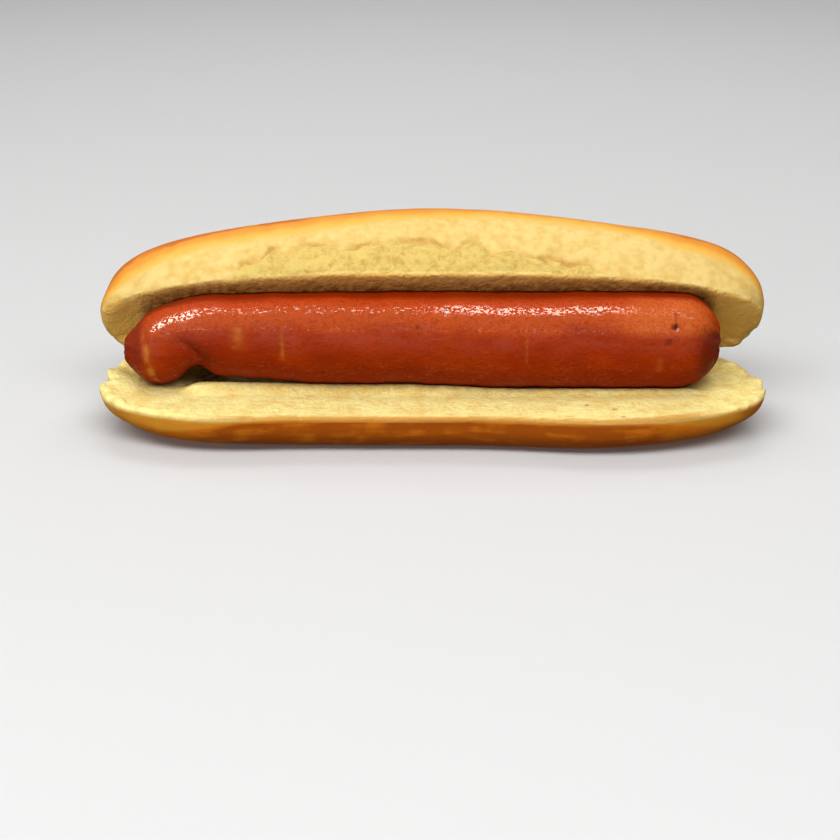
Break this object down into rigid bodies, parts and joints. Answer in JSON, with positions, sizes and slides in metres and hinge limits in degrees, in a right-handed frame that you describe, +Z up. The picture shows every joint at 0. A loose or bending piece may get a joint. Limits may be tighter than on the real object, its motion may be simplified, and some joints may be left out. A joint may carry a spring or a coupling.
{
  "type": "hot dog",
  "caption": "Long sausage lying in a soft bun that is slit along its front, stays joined along its back and stands half open.",
  "frame": {"origin": "on the floor under the middle of the hot dog", "axes": "+X along the sausage towards its round end, -Y out of the open side of the bun, +Z up"},
  "size_m": [0.168, 0.0642, 0.0498],
  "materials": {
    "bread": "soft bread, pale crumb with a satin browned crust",
    "sausage_skin": "oily, slightly wrinkled red-brown casing"
  },
  "bodies": {
    "root": {"bun": "bread", "sausage": "sausage_skin"}
  },
  "joints": []
}
